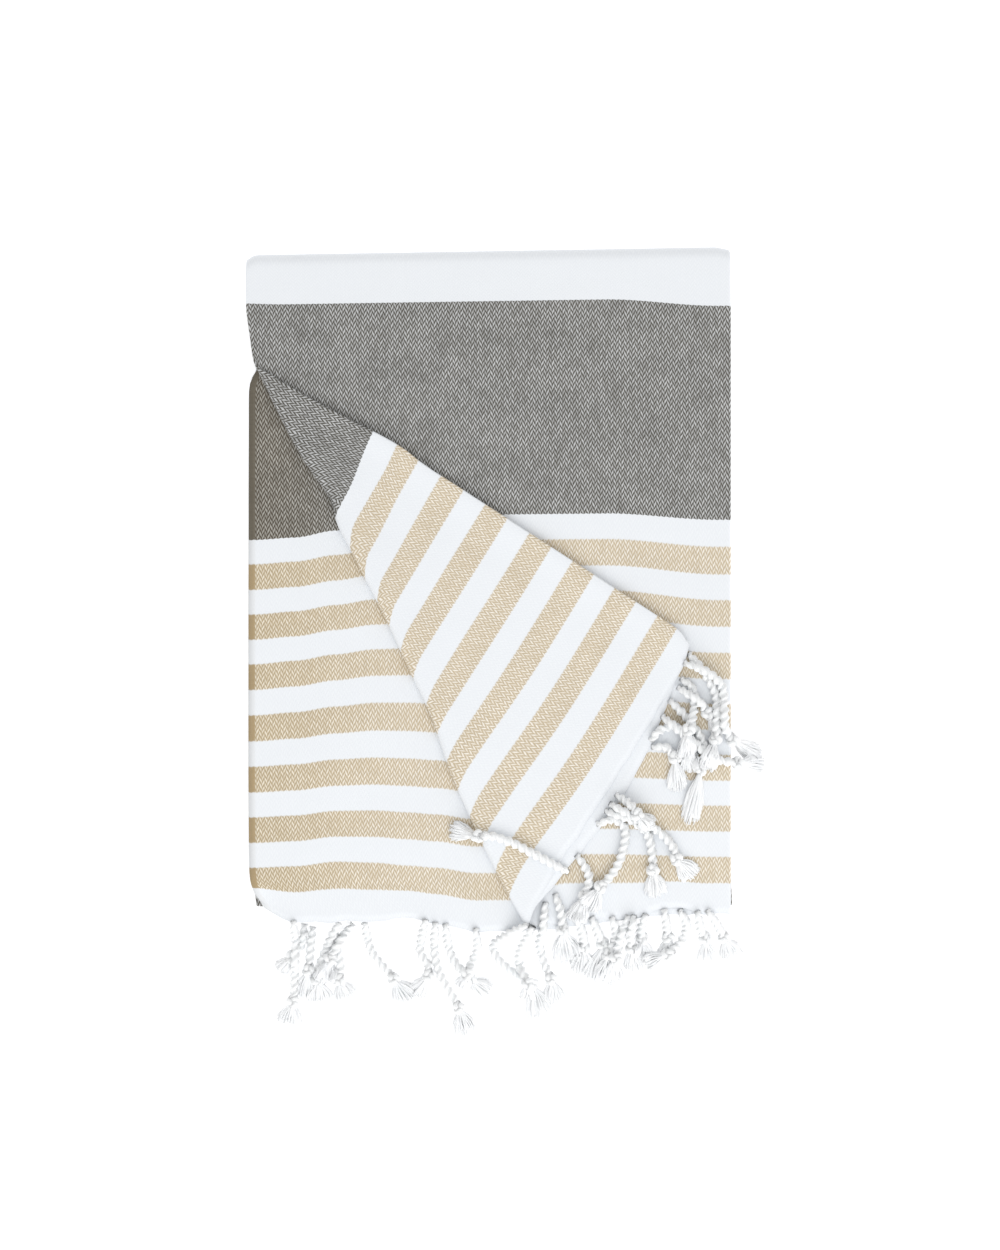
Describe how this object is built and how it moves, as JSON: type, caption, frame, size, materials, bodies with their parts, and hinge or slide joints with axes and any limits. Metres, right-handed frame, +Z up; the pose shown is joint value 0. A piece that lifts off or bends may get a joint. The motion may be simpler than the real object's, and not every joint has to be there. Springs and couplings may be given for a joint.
{
  "type": "hammam towel, folded",
  "caption": "Folded striped cotton hammam towel with one corner of its top turned back and a knotted fringe.",
  "frame": {"origin": "middle of the folded towel's box, on the surface that it lies on", "axes": "+Y from the fringed open hem up to the top fold, +X across the folded towel to the fold that joins its lowest and top ply, +Z up from the surface"},
  "size_m": [0.354, 0.5447, 0.0239],
  "materials": {
    "woven_cotton": "matt herringbone weave, white, tan and taupe",
    "twisted_cotton": "matt twisted and knotted white yarn"
  },
  "bodies": {
    "root": {"towel_cloth": "woven_cotton", "fringe_under": "twisted_cotton", "fringe_right_top": "twisted_cotton", "fringe_corner_top": "twisted_cotton", "fringe_corner_under": "twisted_cotton", "fringe_tip": "twisted_cotton", "fringe_inner_top": "twisted_cotton", "fringe_inner_middle": "twisted_cotton", "fringe_inner_under": "twisted_cotton"}
  },
  "joints": []
}
